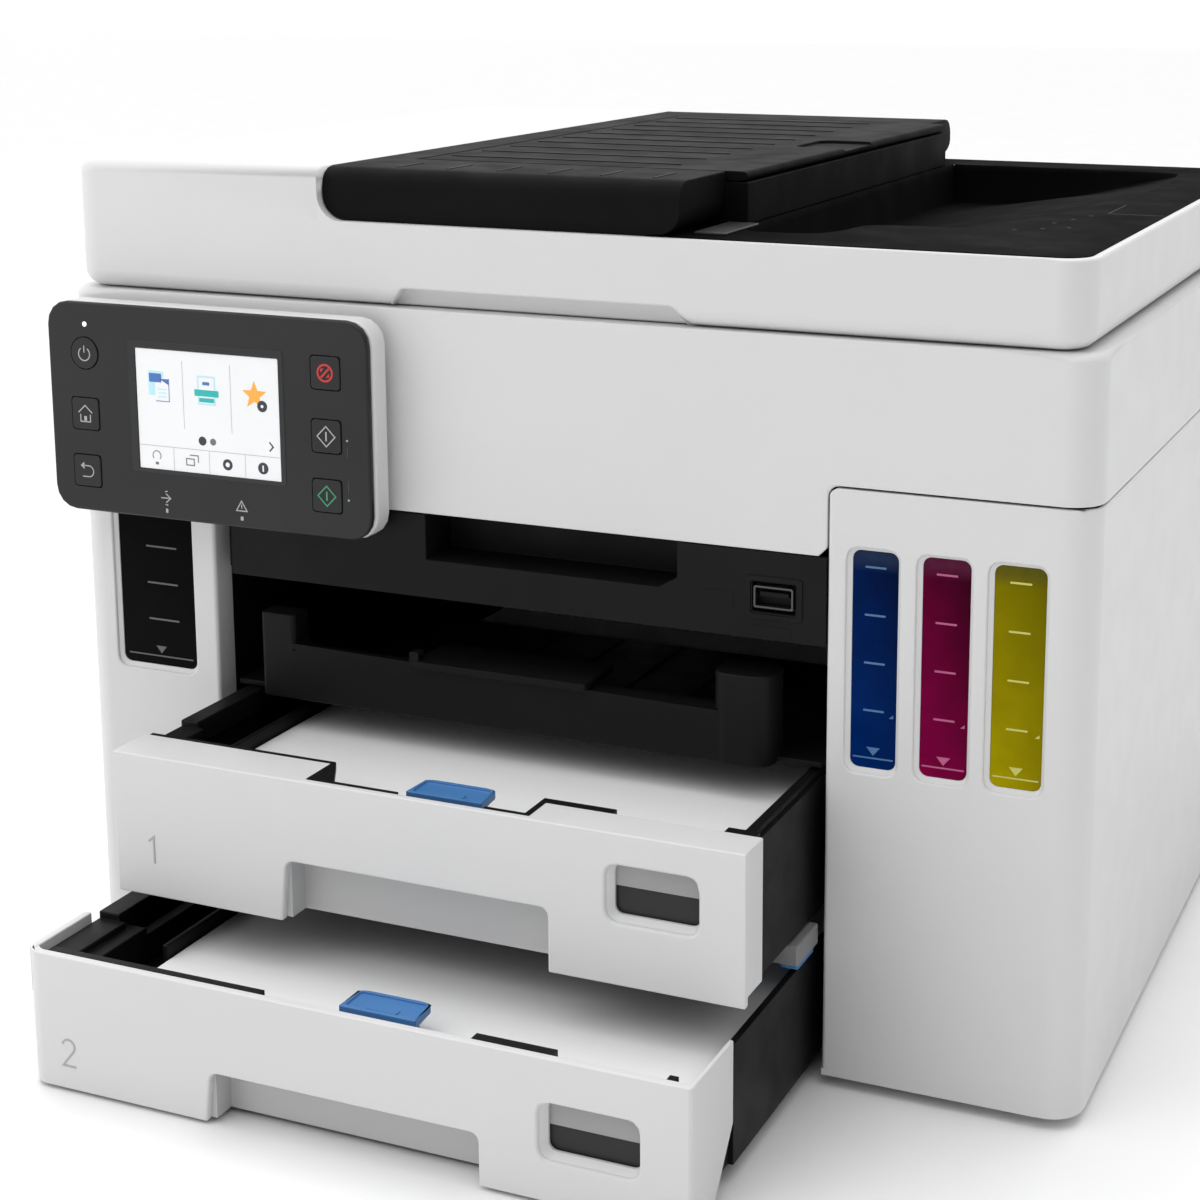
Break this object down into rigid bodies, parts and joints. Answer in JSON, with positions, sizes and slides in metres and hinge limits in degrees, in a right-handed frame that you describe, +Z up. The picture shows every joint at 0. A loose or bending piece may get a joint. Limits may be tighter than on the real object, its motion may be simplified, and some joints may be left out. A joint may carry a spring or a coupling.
{
  "type": "inkjet printer",
  "caption": "Desktop inkjet multifunction printer with pull-out paper cassettes, side ink tanks behind windows, a tilting touch panel, a flatbed scanner and a document feeder.",
  "frame": {"origin": "middle of the footprint on the floor, with both cassettes part-way out", "axes": "+Z up, +X to the right of someone facing the printer, +Y towards its back"},
  "size_m": [0.399, 0.5016, 0.315],
  "materials": {
    "body_white": "fine-textured light grey-white moulded plastic",
    "body_black": "satin black moulded plastic",
    "panel_black": "smooth satin black plastic with pale icons",
    "screen": "lit touch screen behind a glossy cover",
    "rubber": "matt black rubber",
    "steel": "zinc-plated sheet steel",
    "grey_plastic": "mid-grey moulded plastic",
    "circuit_board": "green printed circuit board",
    "glass": "clear float glass",
    "pad_white": "white foam-backed pressing sheet",
    "paper": "plain white office paper",
    "guide_blue": "satin blue plastic",
    "ink_black": "clear tank holding black ink",
    "ink_cyan": "clear tank holding deep blue ink",
    "ink_magenta": "clear tank holding crimson ink",
    "ink_yellow": "clear tank holding olive yellow ink"
  },
  "bodies": {
    "casing": {"base_pan": "body_black", "foot_front_left": "rubber", "foot_front_right": "rubber", "foot_rear_left": "rubber", "foot_rear_right": "rubber", "left_housing": "body_white", "right_housing": "body_white", "rear_housing": "body_white", "usb_panel": "body_black", "usb_port": "steel", "chassis": "body_black", "guide_rail": "steel", "carriage_belt": "rubber", "power_supply": "body_black", "mainboard": "circuit_board", "maintenance_cartridge": "body_black", "ink_tank_black": "ink_black", "ink_tank_cyan": "ink_cyan", "ink_tank_magenta": "ink_magenta", "ink_tank_yellow": "ink_yellow"},
    "scanner_unit": {"scanner_housing": "body_white", "scanner_glass": "glass"},
    "scan_bar": {"scan_bar": "body_black"},
    "document_lid": {"lid_shell": "body_white", "lid_pad": "pad_white"},
    "adf_cover": {"adf_cover": "body_black"},
    "document_tray": {"document_tray": "body_black"},
    "control_panel": {"panel_back": "body_white", "panel_face": "panel_black", "panel_screen": "screen"},
    "cassette_1": {"cassette_1_front": "body_white", "cassette_1_tray": "body_black", "cassette_1_paper": "paper"},
    "cassette_1_side_guide": {"cassette_1_side_guide": "body_black"},
    "cassette_1_end_guide": {"cassette_1_end_guide": "guide_blue"},
    "cassette_2": {"cassette_2_front": "body_white", "cassette_2_tray": "body_black", "cassette_2_paper": "paper"},
    "cassette_2_side_guide": {"cassette_2_side_guide": "body_black"},
    "cassette_2_end_guide": {"cassette_2_end_guide": "guide_blue"},
    "output_tray": {"output_tray": "body_black"},
    "output_support": {"output_support": "body_black"},
    "print_carriage": {"carriage": "body_black", "printhead": "grey_plastic"},
    "feed_roller": {"feed_roller": "rubber"},
    "exit_roller": {"exit_roller": "rubber"},
    "pickup_arm": {"pickup_arm": "grey_plastic"},
    "pickup_roller": {"pickup_roller": "rubber"},
    "rear_tray_cover": {"rear_tray_cover": "body_white"},
    "maintenance_cover": {"maintenance_cover": "body_white"},
    "tank_cap_black": {"tank_cap_black": "ink_black"},
    "tank_cap_cyan": {"tank_cap_cyan": "ink_cyan"},
    "tank_cap_magenta": {"tank_cap_magenta": "ink_magenta"},
    "tank_cap_yellow": {"tank_cap_yellow": "ink_yellow"},
    "power_button": {"power_button": "panel_black"},
    "home_button": {"home_button": "panel_black"},
    "back_button": {"back_button": "panel_black"},
    "stop_button": {"stop_button": "panel_black"},
    "black_start_button": {"black_start_button": "panel_black"},
    "color_start_button": {"color_start_button": "panel_black"}
  },
  "joints": [
    {"name": "scanner_unit_hinge", "type": "hinge", "parent": "casing", "child": "scanner_unit", "pos_m": [0, 0.18675, 0.262], "axis": [-1, 0, 0], "range_deg": [0, 30]},
    {"name": "scan_bar_slide", "type": "slide", "parent": "scanner_unit", "child": "scan_bar", "axis": [1, 0, 0], "range_m": [0, 0.27]},
    {"name": "document_lid_hinge", "type": "hinge", "parent": "scanner_unit", "child": "document_lid", "pos_m": [0, 0.18475, 0.267], "axis": [-1, 0, 0], "range_deg": [0, 60]},
    {"name": "adf_cover_hinge", "type": "hinge", "parent": "document_lid", "child": "adf_cover", "pos_m": [-0.086, 0.01675, 0.3152], "axis": [0, -1, 0], "range_deg": [0, 70]},
    {"name": "document_tray_hinge", "type": "hinge", "parent": "adf_cover", "child": "document_tray", "pos_m": [0.06, 0.02375, 0.3133], "axis": [0, 1, 0], "range_deg": [0, 155]},
    {"name": "control_panel_tilt", "type": "hinge", "parent": "scanner_unit", "child": "control_panel", "pos_m": [-0.127, -0.14475, 0.2625], "axis": [-1, 0, 0], "range_deg": [0, 40]},
    {"name": "power_button_press", "type": "slide", "parent": "control_panel", "child": "power_button", "axis": [0, 1, 0], "range_m": [0, 0.0008], "stiffness_N_per_m": 400},
    {"name": "home_button_press", "type": "slide", "parent": "control_panel", "child": "home_button", "axis": [0, 1, 0], "range_m": [0, 0.0008], "stiffness_N_per_m": 400},
    {"name": "back_button_press", "type": "slide", "parent": "control_panel", "child": "back_button", "axis": [0, 1, 0], "range_m": [0, 0.0008], "stiffness_N_per_m": 400},
    {"name": "stop_button_press", "type": "slide", "parent": "control_panel", "child": "stop_button", "axis": [0, 1, 0], "range_m": [0, 0.0008], "stiffness_N_per_m": 400},
    {"name": "black_start_button_press", "type": "slide", "parent": "control_panel", "child": "black_start_button", "axis": [0, 1, 0], "range_m": [0, 0.0008], "stiffness_N_per_m": 400},
    {"name": "color_start_button_press", "type": "slide", "parent": "control_panel", "child": "color_start_button", "axis": [0, 1, 0], "range_m": [0, 0.0008], "stiffness_N_per_m": 400},
    {"name": "cassette_1_slide", "type": "slide", "parent": "casing", "child": "cassette_1", "axis": [0, -1, 0], "range_m": [-0.071, 0.16]},
    {"name": "cassette_1_side_guide_slide", "type": "slide", "parent": "cassette_1", "child": "cassette_1_side_guide", "axis": [-1, 0, 0], "range_m": [0, 0.003]},
    {"name": "cassette_1_end_guide_slide", "type": "slide", "parent": "cassette_1", "child": "cassette_1_end_guide", "axis": [0, -1, 0], "range_m": [0, 0.003]},
    {"name": "cassette_2_slide", "type": "slide", "parent": "casing", "child": "cassette_2", "axis": [0, -1, 0], "range_m": [-0.1075, 0.14]},
    {"name": "cassette_2_side_guide_slide", "type": "slide", "parent": "cassette_2", "child": "cassette_2_side_guide", "axis": [-1, 0, 0], "range_m": [0, 0.003]},
    {"name": "cassette_2_end_guide_slide", "type": "slide", "parent": "cassette_2", "child": "cassette_2_end_guide", "axis": [0, -1, 0], "range_m": [0, 0.003]},
    {"name": "output_tray_slide", "type": "slide", "parent": "casing", "child": "output_tray", "axis": [0, -1, 0], "range_m": [0, 0.1]},
    {"name": "output_support_hinge", "type": "hinge", "parent": "output_tray", "child": "output_support", "pos_m": [-0.015, -0.14505, 0.1349], "axis": [1, 0, 0], "range_deg": [0, 175]},
    {"name": "carriage_slide", "type": "slide", "parent": "casing", "child": "print_carriage", "axis": [-1, 0, 0], "range_m": [0, 0.29]},
    {"name": "feed_roller_spin", "type": "hinge", "parent": "casing", "child": "feed_roller", "pos_m": [0, 0.03475, 0.1525], "axis": [1, 0, 0], "continuous": true},
    {"name": "exit_roller_spin", "type": "hinge", "parent": "casing", "child": "exit_roller", "pos_m": [0, -0.01725, 0.156], "axis": [1, 0, 0], "continuous": true},
    {"name": "pickup_arm_lift", "type": "hinge", "parent": "casing", "child": "pickup_arm", "pos_m": [0, 0.10675, 0.125], "axis": [-1, 0, 0], "range_deg": [0, 8]},
    {"name": "pickup_roller_spin", "type": "hinge", "parent": "pickup_arm", "child": "pickup_roller", "pos_m": [0, 0.06175, 0.1114], "axis": [1, 0, 0], "continuous": true},
    {"name": "rear_tray_cover_hinge", "type": "hinge", "parent": "casing", "child": "rear_tray_cover", "pos_m": [0, 0.24275, 0.2642], "axis": [-1, 0, 0], "range_deg": [0, 180]},
    {"name": "maintenance_cover_hinge", "type": "hinge", "parent": "casing", "child": "maintenance_cover", "pos_m": [0.095, 0.25075, 0.0484], "axis": [-1, 0, 0], "range_deg": [0, 90]},
    {"name": "tank_cap_black_hinge", "type": "hinge", "parent": "casing", "child": "tank_cap_black", "pos_m": [-0.168, -0.04325, 0.184], "axis": [-1, 0, 0], "range_deg": [0, 80]},
    {"name": "tank_cap_cyan_hinge", "type": "hinge", "parent": "casing", "child": "tank_cap_cyan", "pos_m": [0.1249, -0.04325, 0.184], "axis": [-1, 0, 0], "range_deg": [0, 80]},
    {"name": "tank_cap_magenta_hinge", "type": "hinge", "parent": "casing", "child": "tank_cap_magenta", "pos_m": [0.15, -0.04325, 0.184], "axis": [-1, 0, 0], "range_deg": [0, 80]},
    {"name": "tank_cap_yellow_hinge", "type": "hinge", "parent": "casing", "child": "tank_cap_yellow", "pos_m": [0.1753, -0.04325, 0.184], "axis": [-1, 0, 0], "range_deg": [0, 80]}
  ],
  "couplings": [
    {"joint": "exit_roller_spin", "follows": "feed_roller_spin", "ratio": 1.2},
    {"joint": "pickup_roller_spin", "follows": "feed_roller_spin", "ratio": 0.6}
  ]
}
